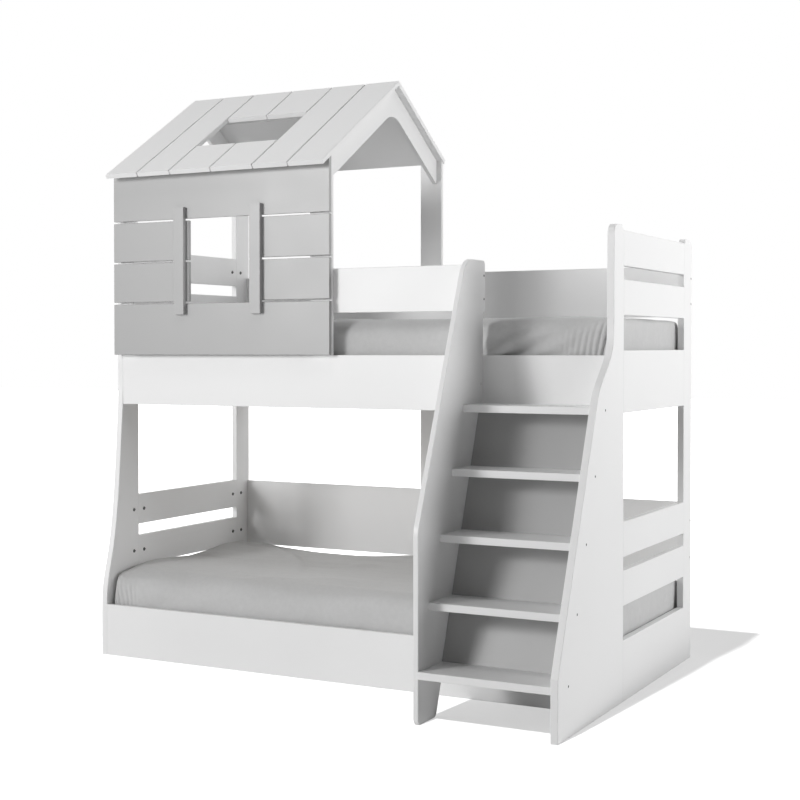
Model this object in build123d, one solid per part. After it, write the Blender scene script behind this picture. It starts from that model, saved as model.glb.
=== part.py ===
"""House bunk bed: two beds between two board ends, with closed stairs and a small house.

X runs along the bed, the front faces -Y and +Z is up. The origin is on the floor, in the
middle of everything the bed covers. Inside the script a place along the bed is a reach from
the left end's outer face, and a place across it is a depth forward of the rear posts' rear
face, so both are positive numbers that can be read off a drawing.
"""
from build123d import *
from math import atan, cos, radians, sin, tan
import os

# Boards, in millimetres
bed_length = 2060.0
end_thickness = 25.0
board_thickness = 18.0
edge_chamfer = 1.5

# Ends: posts and the boards between them
post_width = 106.0
upper_depth = 963.0
foot_flare = 110.0
end_low_rail_height = 211.0
low_guard_rise = 119.0
high_guard_rise = 121.0
guard_board_height = 121.0
guard_board_gap = 47.0
deck_bottom = 992.0
end_deck_rail_height = 215.0
post_top_rise = 17.0
post_corner_radius = 40.0

# Left foot: the post widens forward to carry the wider lower bed
flare_start_height = 221.0
flare_end_rise = 96.0
flare_shares = ((0.736, 0.173), (0.10, 0.768))

# Right front board: post and stair side in one piece
stair_reach = 537.0
toe_height = 200.0
shoulder_reach = 172.2
shoulder_start_rise = 43.0
shoulder_end_rise = 328.0
shoulder_shares = ((0.60, 0.288), (0.128, 0.572))

# Long rails, panels and guards
front_low_rail_height = 200.0
front_deck_rail_height = 198.0
low_panel_rise = 123.0
low_panel_height = 288.0
rear_guard_rise = 146.0
rear_guard_height = 198.0
front_guard_rise = 156.0
front_guard_height = 164.0

# Slatted bases and mattresses
lower_slat_drop = 45.0
upper_slat_drop = 50.0
slat_thickness = 18.0
slat_width = 70.0
slat_count = 14
slat_end_gap = 2.0
ledger_height = 30.0
ledger_width = 25.0
mattress_end_gap = 5.0
lower_mattress_side_gap = 8.5
upper_mattress_side_gap = 13.5
mattress_thickness = 180.0
mattress_lift = 0.3
mattress_crown = 8.0
mattress_draw_in = 6.0
mattress_edge_radius = 34.0
mattress_edge_steps = 2
mattress_crown_share = 0.5
mattress_corner_radius = 60.0

# Stairs
stair_width = 449.0
stringer_setback = 5.0
stringer_foot_width = 138.0
stringer_bend_height = 627.0
stringer_top_reach = 146.6
stringer_break_rise = 56.0
stringer_shoulder_radius = 80.0
stringer_foot_radius = 20.0
tab_corner_radius = 15.0
tab_cover_above = 12.0
tab_cover_below = 6.0
tread_count = 5
tread_thickness = 25.0
lowest_tread_top = 174.5
stair_head_step = 168.7
tread_setback = 2.0

# House walls
wall_start = 10.0
wall_length = 980.0
wall_sill_height = 200.0
wall_plank_height = 153.0
wall_top_height = 196.5
wall_slot = 8.0
window_start = 357.0
window_width = 277.0
shutter_width = 48.0
shutter_gap = 11.0
shutter_overlap = 43.0
front_post_width = 90.0
rear_post_width = 98.0
corner_batten_width = 36.0
wall_batten_start = 26.0
wall_batten_width = 55.0

# Roof and gables
roof_pitch = 31.0
ridge_setback = 544.0
front_eave_reach = 56.0
rear_eave_reach = 30.0
roof_end_reach = 4.0
skylight_plank_width = 184.0
plank_gap = 4.0
plank_edge_chamfer = 2.5
skylight_shares = (0.3365, 0.6997)
gable_leg_width = 88.0
gable_inner_radius = 115.0
gable_tip_radius = 6.0
gable_inset = 22.0
roof_batten_width = 40.0
roof_batten_height = 30.0
roof_batten_margin = 95.0
lower_batten_margin = 12.0

# Fasteners
screw_diameter = 9.0
screw_length = 60.0
screw_pair_shares = (0.25, 0.75)

# Lines that several boards share, across the bed
lower_depth = upper_depth + foot_flare
toe_depth = upper_depth + stair_reach
overall_depth = toe_depth + rear_eave_reach
rear_face_y = overall_depth / 2 - rear_eave_reach
front_seam = upper_depth - post_width
rear_seam = post_width
stringer_front_depth = toe_depth - stringer_setback
stair_foot_depth = stringer_front_depth - stringer_foot_width

# Lines along the bed
inner_left = end_thickness
inner_right = bed_length - end_thickness
stair_inner = inner_right - stair_width
stair_start = stair_inner - board_thickness

# Heights of the ends, rails and guards
low_guard_bottom = end_low_rail_height + low_guard_rise
low_guard_upper_bottom = low_guard_bottom + guard_board_height + guard_board_gap
high_guard_bottom = deck_bottom + end_deck_rail_height + high_guard_rise
high_guard_upper_bottom = high_guard_bottom + guard_board_height + guard_board_gap
end_top = high_guard_upper_bottom + guard_board_height
post_top = end_top + post_top_rise
deck_rail_top = deck_bottom + front_deck_rail_height
low_panel_bottom = front_low_rail_height + low_panel_rise
rear_guard_bottom = deck_rail_top + rear_guard_rise
front_guard_bottom = deck_rail_top + front_guard_rise
front_guard_top = front_guard_bottom + front_guard_height
lower_slat_top = front_low_rail_height - lower_slat_drop
upper_slat_top = deck_rail_top - upper_slat_drop
flare_end_height = deck_bottom + flare_end_rise

# Heights of the stairs
shoulder_start_height = deck_bottom + shoulder_start_rise
shoulder_end_height = deck_bottom + shoulder_end_rise
stringer_rear_break = deck_bottom + stringer_break_rise
tread_pitch = (deck_rail_top - stair_head_step - lowest_tread_top) / (tread_count - 1)

# Slopes of the stairs, as a step forward for each step down
toe_slope = (toe_depth - upper_depth - shoulder_reach) / (shoulder_start_height - toe_height)
stair_back_slope = (stair_foot_depth - upper_depth) / stringer_rear_break

# Lines of the house
house_post_front = upper_depth + board_thickness
wall_front = house_post_front + board_thickness
shutter_front = wall_front + board_thickness
wall_end = wall_start + wall_length
sill_top = deck_rail_top + wall_sill_height
first_plank_bottom = sill_top + wall_slot
second_plank_bottom = first_plank_bottom + wall_plank_height + wall_slot
wall_head = second_plank_bottom + wall_plank_height + wall_slot
window_left = wall_start + window_start
window_right = window_left + window_width
gable_right_face = wall_end - gable_inset

# Lines of the roof
pitch = radians(roof_pitch)
ridge_depth = upper_depth - ridge_setback
front_eave_depth = wall_front + front_eave_reach
slope_run = front_eave_depth - ridge_depth
skylight_top_depth, skylight_bottom_depth = [ridge_depth + slope_run * share for share in skylight_shares]
wall_top = wall_head + wall_top_height
ridge_height = wall_top + board_thickness / cos(pitch) + (wall_front - ridge_depth) * tan(pitch)

parts = {}


def x_at(reach):
    """X of a reach from the left end's outer face."""
    return reach - bed_length / 2


def y_at(depth):
    """Y of a depth forward of the rear posts' rear face."""
    return rear_face_y - depth


def block(reaches, depths, heights):
    """A square-edged board between two reaches, two depths and two heights."""
    size = [last - first for first, last in (reaches, depths, heights)]
    place = (x_at(sum(reaches) / 2), y_at(sum(depths) / 2), sum(heights) / 2)
    return Pos(*place) * Box(*size)


def eased_block(reaches, depths, heights, along):
    """A board whose four long edges, those along one axis, are lightly chamfered."""
    board = block(reaches, depths, heights)
    return chamfer(board.edges().filter_by(along), edge_chamfer)


def side_point(depth, height):
    """A point of an outline drawn in the side view."""
    return (y_at(depth), height)


def side_line(*points):
    """A run of straight lines through (depth, height) points of the side view."""
    return Polyline(*[side_point(*point) for point in points])


def side_curve(start, end, shares, start_slope):
    """A smooth edge from start up to end, where it runs upright.

    Each share pair places a point between them: how much of the step forward is left, and
    how much of the rise is done. start_slope is the edge's step back for each step up at
    the start.
    """
    step = start[0] - end[0]
    rise = end[1] - start[1]
    middle = [(end[0] + step * forward, start[1] + rise * up) for forward, up in shares]
    points = [side_point(*point) for point in (start, *middle, end)]
    return Spline(*points, tangents=[(start_slope, 1), (0, 1)])


def side_board(face, reaches):
    """A board with an outline of the side view, as thick as the two reaches are apart."""
    first, last = reaches
    return extrude(Plane.YZ.offset(x_at(first)) * face, amount=last - first)


def chamfer_faces(board):
    """The board with the rims of its two X faces lightly chamfered."""
    faces = board.faces().sort_by(Axis.X)
    return chamfer(faces[0].edges() + faces[-1].edges(), edge_chamfer)


def side_polygon(points, reaches):
    """A straight-sided side board with chamfered rims."""
    face = make_face(side_line(*points, points[0]))
    return chamfer_faces(side_board(face, reaches))


def roof_top(depth):
    """Height of the roof's upper face."""
    return ridge_height - abs(depth - ridge_depth) * tan(pitch)


def roof_under(depth):
    """Height of the roof's underside."""
    return roof_top(depth) - board_thickness / cos(pitch)


def gable_inner(depth):
    """Height of a gable frame's inner edge, before its apex is rounded."""
    return roof_under(depth) - gable_leg_width / cos(pitch)


def toe_edge(height):
    """Depth of the right front board's straight sloping edge."""
    return toe_depth - (height - toe_height) * toe_slope


def stair_back(height):
    """Depth of the stairs' straight rear line."""
    return upper_depth + (stringer_rear_break - height) * stair_back_slope


def panel_front(height):
    """Depth of the front face of the panel behind the treads."""
    return stair_back(height) + board_thickness / cos(atan(stair_back_slope))


def x_cylinder(diameter, reaches, depth, height):
    """A round bar or bore along X."""
    first, last = reaches
    bar = extrude(Plane.YZ * Circle(diameter / 2), amount=last - first)
    return Pos(x_at(first), y_at(depth), height) * bar


def screw(face_reach, inward, depth, height):
    """A screw sunk flush with a face, pointing inward (1 or -1 along X); it fills its bore."""
    tip = face_reach + inward * screw_length
    return x_cylinder(screw_diameter, sorted((face_reach, tip)), depth, height)


def drilled(board, places):
    """The board with the holes of the screws at (face reach, inward, depth, height)."""
    for place in places:
        board = board - screw(*place)
    return board


def tread_height(number):
    """Height of a tread's top, counted from 1 at the bottom."""
    return lowest_tread_top + (number - 1) * tread_pitch


def tread_outline(number):
    """Depth and height of a tread's corners."""
    top = tread_height(number)
    bottom = top - tread_thickness
    front = min(toe_edge(top), toe_depth) - tread_setback
    is_top = number == tread_count
    rear_top = upper_depth if is_top else panel_front(top)
    rear_bottom = upper_depth if is_top else panel_front(bottom)
    return [(rear_top, top), (front, top), (front, bottom), (rear_bottom, bottom)]


def tread_screw_places(face_reach, inward):
    """One screw at the middle of each tread's end."""
    places = []
    for number in range(1, tread_count + 1):
        corners = tread_outline(number)
        middle = sum(depth for depth, height in corners) / len(corners)
        height = tread_height(number) - tread_thickness / 2
        places.append((face_reach, inward, middle, height))
    return places


def panel_bolt_places(face_reach, inward):
    """Two bolts into each rear panel's end."""
    panels = ((low_panel_bottom, low_panel_height), (rear_guard_bottom, rear_guard_height))
    places = []
    for bottom, height in panels:
        for share in screw_pair_shares:
            places.append((face_reach, inward, board_thickness / 2, bottom + height * share))
    return places


def guard_screw_places():
    """Two screws through the stringer's tab into the front guard's end."""
    depth = upper_depth - board_thickness / 2
    heights = [front_guard_bottom + front_guard_height * share for share in screw_pair_shares]
    return [(stair_inner, -1, depth, height) for height in heights]


left_bolts = panel_bolt_places(0, 1)
right_bolts = panel_bolt_places(bed_length, -1)
right_tread_screws = tread_screw_places(bed_length, -1)
left_tread_screws = tread_screw_places(stair_start, 1)
guard_screws = guard_screw_places()


def make_left_front_post():
    """The tall left front post, which flares forward below the upper deck."""
    flare_start = (lower_depth, flare_start_height)
    flare_end = (upper_depth, flare_end_height)
    below = side_line(
        (upper_depth, roof_under(upper_depth)),
        (front_seam, roof_under(front_seam)),
        (front_seam, 0),
        (lower_depth, 0),
        flare_start,
    )
    flare = side_curve(flare_start, flare_end, flare_shares, 0)
    above = side_line(flare_end, (upper_depth, roof_under(upper_depth)))
    return chamfer_faces(side_board(make_face(below + flare + above), (0, end_thickness)))


def make_left_rear_post():
    """The tall left rear post, cut to the roof's slope."""
    outline = [(0, 0), (post_width, 0), (post_width, roof_under(post_width)), (0, roof_under(0))]
    post = side_polygon(outline, (0, end_thickness))
    return drilled(post, left_bolts)


def top_cove(seam, outward):
    """The cove that drops from a short post's top to its neighbour; outward is 1 or -1."""
    start = side_point(seam + outward * post_top_rise, post_top)
    end = side_point(seam, end_top)
    turn = post_top_rise * sin(radians(45))
    middle = side_point(seam + outward * turn, post_top - turn)
    return ThreePointArc(start, middle, end)


def make_right_front_board():
    """The right front board: foot, stair side, shoulder and short post in one piece."""
    shoulder_start = (toe_edge(shoulder_start_height), shoulder_start_height)
    shoulder_end = (upper_depth, shoulder_end_height)
    toe = (toe_depth, toe_height)
    below = side_line((front_seam, end_top), (front_seam, 0), (toe_depth, 0), toe, shoulder_start)
    shoulder = side_curve(shoulder_start, shoulder_end, shoulder_shares, toe_slope)
    corner_start = (upper_depth, post_top - post_corner_radius)
    corner_end = (upper_depth - post_corner_radius, post_top)
    upright = side_line(shoulder_end, corner_start)
    turn = post_corner_radius * (1 - sin(radians(45)))
    corner = ThreePointArc(
        side_point(*corner_start),
        side_point(upper_depth - turn, post_top - turn),
        side_point(*corner_end),
    )
    flat = side_line(corner_end, (front_seam + post_top_rise, post_top))
    outline = below + shoulder + upright + corner + flat + top_cove(front_seam, 1)
    board = chamfer_faces(side_board(make_face(outline), (inner_right, bed_length)))
    return drilled(board, right_tread_screws)


def make_right_rear_post():
    """The short right rear post."""
    turn = post_corner_radius * (1 - sin(radians(45)))
    sides = side_line((rear_seam, end_top), (rear_seam, 0), (0, 0), (0, post_top - post_corner_radius))
    corner = ThreePointArc(
        side_point(0, post_top - post_corner_radius),
        side_point(turn, post_top - turn),
        side_point(post_corner_radius, post_top),
    )
    flat = side_line((post_corner_radius, post_top), (rear_seam - post_top_rise, post_top))
    outline = sides + corner + flat + top_cove(rear_seam, -1)
    post = chamfer_faces(side_board(make_face(outline), (inner_right, bed_length)))
    return drilled(post, right_bolts)


def make_end_boards(side, reaches):
    """The boards between the two posts of one end."""
    depths = (rear_seam, front_seam)

    def end_board(bottom, height):
        return eased_block(reaches, depths, (bottom, bottom + height), Axis.Y)

    parts[side + "_bottom_rail"] = end_board(0, end_low_rail_height)
    parts[side + "_deck_rail"] = end_board(deck_bottom, end_deck_rail_height)
    low_bottoms = (low_guard_bottom, low_guard_upper_bottom)
    high_bottoms = (high_guard_bottom, high_guard_upper_bottom)
    parts[side + "_low_guards"] = Compound([end_board(z, guard_board_height) for z in low_bottoms])
    parts[side + "_high_guards"] = Compound([end_board(z, guard_board_height) for z in high_bottoms])


def long_board(depths, bottom, height):
    """A board that runs the whole length between the ends."""
    return eased_block((inner_left, inner_right), depths, (bottom, bottom + height), Axis.X)


def make_long_boards():
    """Rails, panels and guards along the bed."""
    rear = (0, board_thickness)
    lower_front = (lower_depth - board_thickness, lower_depth)
    upper_front = (upper_depth - board_thickness, upper_depth)
    bolts = left_bolts + right_bolts
    low_panel = long_board(rear, low_panel_bottom, low_panel_height)
    rear_guard = long_board(rear, rear_guard_bottom, rear_guard_height)
    parts["lower_front_rail"] = long_board(lower_front, 0, front_low_rail_height)
    parts["lower_rear_rail"] = long_board(rear, 0, front_low_rail_height)
    parts["upper_front_rail"] = long_board(upper_front, deck_bottom, front_deck_rail_height)
    parts["upper_rear_rail"] = long_board(rear, deck_bottom, front_deck_rail_height)
    parts["lower_rear_panel"] = drilled(low_panel, bolts)
    parts["upper_rear_guard"] = drilled(rear_guard, bolts)
    guard = eased_block(
        (wall_end - front_post_width, stair_start),
        upper_front,
        (front_guard_bottom, front_guard_top),
        Axis.X,
    )
    parts["upper_front_guard"] = drilled(guard, guard_screws)


def make_base(front_depth, slat_top):
    """Ledgers and slats of one bed, whose front rail's front face is at front_depth."""
    inner_rear = board_thickness
    inner_front = front_depth - board_thickness
    slat_bottom = slat_top - slat_thickness
    heights = (slat_bottom - ledger_height, slat_bottom)
    rear_ledger = block((inner_left, inner_right), (inner_rear, inner_rear + ledger_width), heights)
    front_ledger = block((inner_left, inner_right), (inner_front - ledger_width, inner_front), heights)
    pitch_along = (inner_right - inner_left) / slat_count
    slats = []
    for number in range(slat_count):
        middle = inner_left + (number + 1 / 2) * pitch_along
        reaches = (middle - slat_width / 2, middle + slat_width / 2)
        depths = (inner_rear + slat_end_gap, inner_front - slat_end_gap)
        slats.append(block(reaches, depths, (slat_bottom, slat_top)))
    return Compound([rear_ledger, front_ledger]), Compound(slats)


def mattress_plan(inset, height):
    """A mattress's outline at one height, drawn in at the middle of each side.

    It takes the mattress's (length, width) and how far the outline lies inside them.
    """
    def plan(size):
        half = size[0] / 2 - inset
        side = size[1] / 2 - inset
        radius = mattress_corner_radius
        turn = radius * (1 - sin(radians(45)))
        edges = []
        for sign in (1, -1):
            ends = [(sign * (radius - half), sign * side), (sign * (half - radius), sign * side)]
            edges.append(ThreePointArc(ends[0], (0, sign * (side - mattress_draw_in)), ends[1]))
            corner = (sign * (half - turn), sign * (side - turn))
            next_side = (sign * half, sign * (side - radius))
            edges.append(ThreePointArc(ends[1], corner, next_side))
            far = (sign * half, sign * (radius - side))
            edges.append(ThreePointArc(next_side, (sign * (half - mattress_draw_in), 0), far))
            corner = (sign * (half - turn), sign * (turn - side))
            edges.append(ThreePointArc(far, corner, (sign * (half - radius), sign * -side)))
        return Plane.XY.offset(height) * make_face(Curve() + edges)
    return plan


def mattress_plans(width):
    """Outlines up the height: a rounded lower edge, hollow sides, a rounded upper edge, a crown."""
    quarter_turns = [radians(90) * step / mattress_edge_steps for step in range(mattress_edge_steps + 1)]
    rounding = [
        (mattress_edge_radius * (1 - sin(turn)), mattress_edge_radius * (1 - cos(turn)))
        for turn in quarter_turns
    ]
    lower = [mattress_plan(inset, rise) for inset, rise in rounding]
    middle = [mattress_plan(mattress_draw_in, mattress_thickness / 2)]
    upper = [mattress_plan(inset, mattress_thickness - rise) for inset, rise in reversed(rounding)]
    crown_inset = mattress_edge_radius + mattress_crown_share * (width / 2 - mattress_corner_radius)
    crown = [mattress_plan(crown_inset, mattress_thickness + mattress_crown)]
    return lower + middle + upper + crown


def make_mattress(front_depth, side_gap, slat_top):
    """A foam mattress: crowned top, rounded edges and sides drawn in between the corners."""
    length = inner_right - inner_left - 2 * mattress_end_gap
    width = front_depth - 2 * (board_thickness + side_gap)
    sections = [plan((length, width)) for plan in mattress_plans(width)]
    body = loft(sections, ruled=True)
    return Pos(x_at(bed_length / 2), y_at(front_depth / 2), slat_top + mattress_lift) * body


def make_stringer():
    """The stairs' left side: a tall safety panel with a tab over the guard's end."""
    top = front_guard_top + tab_cover_above
    tab_bottom = front_guard_bottom - tab_cover_below
    top_front = upper_depth + stringer_top_reach
    tab_rear = upper_depth - board_thickness
    outline = [
        (stringer_front_depth, 0), (stringer_front_depth, stringer_bend_height), (top_front, top),
        (tab_rear, top), (tab_rear, tab_bottom), (upper_depth, tab_bottom),
        (upper_depth, stringer_rear_break), (stair_back(0), 0),
    ]
    rounds = [
        stringer_foot_radius, stringer_shoulder_radius, stringer_shoulder_radius,
        tab_corner_radius, 0, 0, stringer_shoulder_radius, stringer_foot_radius,
    ]
    edge = FilletPolyline(*[side_point(*point) for point in outline], radius=rounds, close=True)
    board = chamfer_faces(side_board(make_face(edge), (stair_start, stair_inner)))
    return drilled(board, left_tread_screws + guard_screws)


def make_stairs():
    """Stringer, treads and the slanting panel behind the treads."""
    parts["stair_stringer"] = make_stringer()
    reaches = (stair_inner, inner_right)
    screws = zip(left_tread_screws, right_tread_screws)
    for number, pair in enumerate(screws, 1):
        outline = tread_outline(number)
        tread = side_board(make_face(side_line(*outline, outline[0])), reaches)
        tread = chamfer(tread.edges().filter_by(Axis.X).sort_by(Axis.Y)[:2], edge_chamfer)
        parts[f"tread_{number}"] = drilled(tread, pair)
    top = tread_height(tread_count) - tread_thickness
    bottom = tread_height(1) - tread_thickness
    outline = [
        (stair_back(bottom), bottom), (panel_front(bottom), bottom),
        (panel_front(top), top), (stair_back(top), top),
    ]
    parts["stair_back_panel"] = side_board(make_face(side_line(*outline, outline[0])), reaches)


def wall_board(reaches, bottom, height):
    """A horizontal board of the house's front wall."""
    return eased_block(reaches, (house_post_front, wall_front), (bottom, bottom + height), Axis.X)


def make_wall():
    """The front wall with its window and shutters, and the battens that carry it."""
    whole = (wall_start, wall_end)
    parts["wall_bottom_board"] = wall_board(whole, deck_rail_top, wall_sill_height)
    for name, reaches in (("left", (wall_start, window_left)), ("right", (window_right, wall_end))):
        parts[f"wall_plank_{name}_lower"] = wall_board(reaches, first_plank_bottom, wall_plank_height)
        parts[f"wall_plank_{name}_upper"] = wall_board(reaches, second_plank_bottom, wall_plank_height)
    head = [
        (house_post_front, wall_head), (wall_front, wall_head),
        (wall_front, roof_under(wall_front)), (house_post_front, roof_under(house_post_front)),
    ]
    parts["wall_top_board"] = side_board(make_face(side_line(*head, head[0])), whole)
    shutter_heights = (sill_top - shutter_overlap, wall_head + shutter_overlap)
    left_edge = window_left - shutter_gap
    right_edge = window_right + shutter_gap
    for name, reaches in (
        ("shutter_left", (left_edge - shutter_width, left_edge)),
        ("shutter_right", (right_edge, right_edge + shutter_width)),
    ):
        parts[name] = eased_block(reaches, (wall_front, shutter_front), shutter_heights, Axis.Z)


def sloped_post(reaches, depths, bottom):
    """An upright whose top is cut to the roof's slope."""
    first, last = depths
    outline = [(first, bottom), (last, bottom), (last, roof_under(last)), (first, roof_under(first))]
    upright = side_board(make_face(side_line(*outline, outline[0])), reaches)
    return chamfer(upright.edges().filter_by(Axis.Z), edge_chamfer)


def make_house_posts():
    """The house's uprights: two posts at its right, two battens at its left."""
    post_depths = (upper_depth, house_post_front)
    front_reaches = (wall_end - front_post_width, wall_end)
    parts["house_front_post"] = sloped_post(front_reaches, post_depths, deck_rail_top)
    parts["house_rear_post"] = sloped_post((wall_end - rear_post_width, wall_end), (-board_thickness, 0), 0)
    batten_start = wall_start + wall_batten_start
    batten_reaches = (batten_start, batten_start + wall_batten_width)
    parts["wall_left_batten"] = sloped_post(batten_reaches, post_depths, deck_rail_top)
    batten_top = gable_inner(upper_depth) - gable_tip_radius
    parts["wall_corner_batten"] = eased_block(
        (inner_left, inner_left + corner_batten_width),
        (upper_depth - board_thickness, upper_depth),
        (deck_rail_top, batten_top),
        Axis.Z,
    )


def make_gable(reaches):
    """A one-piece gable frame: two legs under the roof with a rounded inner apex."""
    outline = [
        (0, roof_under(0)), (ridge_depth, roof_under(ridge_depth)),
        (upper_depth, roof_under(upper_depth)), (upper_depth, gable_inner(upper_depth)),
        (ridge_depth, gable_inner(ridge_depth)), (0, gable_inner(0)),
    ]
    rounds = [gable_tip_radius, 0, gable_tip_radius, gable_tip_radius, gable_inner_radius, gable_tip_radius]
    edge = FilletPolyline(*[side_point(*point) for point in outline], radius=rounds, close=True)
    return chamfer_faces(side_board(make_face(edge), reaches))


def square_cut(depth):
    """Top and bottom corner of a cut square to the front slope."""
    below = (depth - board_thickness * sin(pitch), roof_top(depth) - board_thickness * cos(pitch))
    return (depth, roof_top(depth)), below


def roof_plank(reaches, start_depth, end_depth):
    """A front roof board from start_depth down to end_depth; it is mitred at the ridge."""
    if start_depth == ridge_depth:
        start = ((ridge_depth, ridge_height), (ridge_depth, roof_under(ridge_depth)))
    else:
        start = square_cut(start_depth)
    end = square_cut(end_depth)
    outline = [start[0], end[0], end[1], start[1]]
    plank = side_board(make_face(side_line(*outline, outline[0])), reaches)
    run = plank.edges().filter_by(Axis(origin=(0, 0, 0), direction=(0, -cos(pitch), -sin(pitch))))
    return chamfer(run, plank_edge_chamfer)


def make_roof():
    """Six front planks with a skylight in the middle two, and one rear panel."""
    roof_length = wall_length + roof_end_reach
    plain_width = (roof_length - 2 * skylight_plank_width - 5 * plank_gap) / 4
    start = wall_start
    edges = []
    for number in range(1, 7):
        is_cut = number in (3, 4)
        end = start + (skylight_plank_width if is_cut else plain_width)
        reaches = (start, end)
        edges.append(reaches)
        start = end + plank_gap
        name = f"roof_plank_{number}"
        if is_cut:
            parts[name + "_upper"] = roof_plank(reaches, ridge_depth, skylight_top_depth)
            parts[name + "_lower"] = roof_plank(reaches, skylight_bottom_depth, front_eave_depth)
        else:
            parts[name] = roof_plank(reaches, ridge_depth, front_eave_depth)
    eave_top = roof_top(-rear_eave_reach)
    eave_inner = -rear_eave_reach + board_thickness * sin(pitch)
    outline = [
        (ridge_depth, ridge_height), (-rear_eave_reach, eave_top),
        (eave_inner, eave_top - board_thickness * cos(pitch)), (ridge_depth, roof_under(ridge_depth)),
    ]
    whole = (edges[0][0], edges[-1][1])
    parts["roof_rear_panel"] = side_board(make_face(side_line(*outline, outline[0])), whole)
    upper_batten = skylight_top_depth - roof_batten_margin
    lower_batten = skylight_bottom_depth + lower_batten_margin + roof_batten_width / 2
    foot = roof_batten_height / cos(pitch)
    span = (edges[1][0], edges[4][1])
    battens = []
    for middle in (upper_batten, lower_batten):
        ends = [middle - roof_batten_width / 2, middle + roof_batten_width / 2]
        corners = [(depth, roof_under(depth)) for depth in ends]
        corners = corners + [(depth, roof_under(depth) - foot) for depth in reversed(ends)]
        battens.append(side_board(make_face(side_line(*corners, corners[0])), span))
    parts["roof_battens"] = Compound(battens)


def make_fasteners():
    """Screws and bolts, flush with the outer faces."""
    places = {
        "tread_screws": left_tread_screws + right_tread_screws,
        "panel_bolts": left_bolts + right_bolts,
        "guard_screws": guard_screws,
    }
    for name, group in places.items():
        parts[name] = Compound([screw(*place) for place in group])


parts["left_front_post"] = make_left_front_post()
parts["left_rear_post"] = make_left_rear_post()
parts["right_front_board"] = make_right_front_board()
parts["right_rear_post"] = make_right_rear_post()
make_end_boards("left", (0, end_thickness))
make_end_boards("right", (inner_right, bed_length))
make_long_boards()
lower_ledgers, parts["lower_slats"] = make_base(lower_depth, lower_slat_top)
upper_ledgers, parts["upper_slats"] = make_base(upper_depth, upper_slat_top)
parts["slat_ledgers"] = Compound(lower_ledgers.solids() + upper_ledgers.solids())
parts["lower_mattress"] = make_mattress(lower_depth, lower_mattress_side_gap, lower_slat_top)
parts["upper_mattress"] = make_mattress(upper_depth, upper_mattress_side_gap, upper_slat_top)
make_stairs()
make_wall()
make_house_posts()
parts["gable_left"] = make_gable((inner_left, inner_left + board_thickness))
parts["gable_right"] = make_gable((gable_right_face - board_thickness, gable_right_face))
make_roof()
make_fasteners()

os.makedirs("parts", exist_ok=True)
for node, shape in parts.items():
    export_step(shape, f"parts/{node}.step")
print(len(parts), "nodes")
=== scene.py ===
"""Finish of a house bunk bed: lacquered boards, two mattresses in fitted sheets and fasteners.

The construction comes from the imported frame. This file gives every board its lacquer and every
slat its pine, models the mattresses and fasteners that replace the frame's plain ones, and sets
up a plain studio with the camera. Lengths are in metres, in the frame's own axes.
"""

from math import atan2, cos, exp, pi, radians, sin

import bmesh
import bpy
from mathutils import Matrix, Vector, noise


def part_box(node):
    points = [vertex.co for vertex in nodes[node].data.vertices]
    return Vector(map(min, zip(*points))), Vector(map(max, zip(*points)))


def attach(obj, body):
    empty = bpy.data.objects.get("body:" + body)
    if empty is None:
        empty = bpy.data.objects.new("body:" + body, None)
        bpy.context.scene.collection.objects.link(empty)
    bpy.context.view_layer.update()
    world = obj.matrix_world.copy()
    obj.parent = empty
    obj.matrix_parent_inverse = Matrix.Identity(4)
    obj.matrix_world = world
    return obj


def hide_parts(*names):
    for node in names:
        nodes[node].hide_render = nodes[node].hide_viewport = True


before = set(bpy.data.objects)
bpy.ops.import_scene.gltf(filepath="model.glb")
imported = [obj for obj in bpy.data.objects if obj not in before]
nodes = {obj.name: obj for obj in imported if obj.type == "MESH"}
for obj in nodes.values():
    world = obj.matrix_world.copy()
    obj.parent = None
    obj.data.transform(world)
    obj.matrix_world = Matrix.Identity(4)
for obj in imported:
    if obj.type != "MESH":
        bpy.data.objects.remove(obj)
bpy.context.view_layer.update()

bl_info = {
    "name": "House bunk bed finish",
    "version": (1, 0, 0),
    "blender": (4, 5, 0),
    "location": "View3D > Sidebar > Bunk bed",
    "description": "Dresses a house bunk bed with lacquer, fitted sheets and fasteners",
    "category": "Object",
}

BODY = "root"

GREY_NODES = (
    "wall_bottom_board", "wall_top_board", "wall_plank_left_lower", "wall_plank_left_upper",
    "wall_plank_right_lower", "wall_plank_right_upper", "shutter_left", "shutter_right",
    "stair_back_panel",
)
PINE_NODES = ("lower_slats", "upper_slats", "slat_ledgers")
SOFT_NODES = ("lower_mattress", "upper_mattress")
SCREW_NODES = ("tread_screws", "panel_bolts", "guard_screws")

# The material that dresses each slot
FINISHES = {
    "white_lacquer": "White lacquer",
    "grey_lacquer": "Grey lacquer",
    "bare_pine": "Bare pine",
    "sheet_fabric": "Cotton sheet",
    "screw_steel": "Screw steel",
    "cover_plastic": "Cap plastic",
}


def mm(length):
    """A length in millimetres as metres."""
    return length / 1000


# Settings that a user would change


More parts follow.
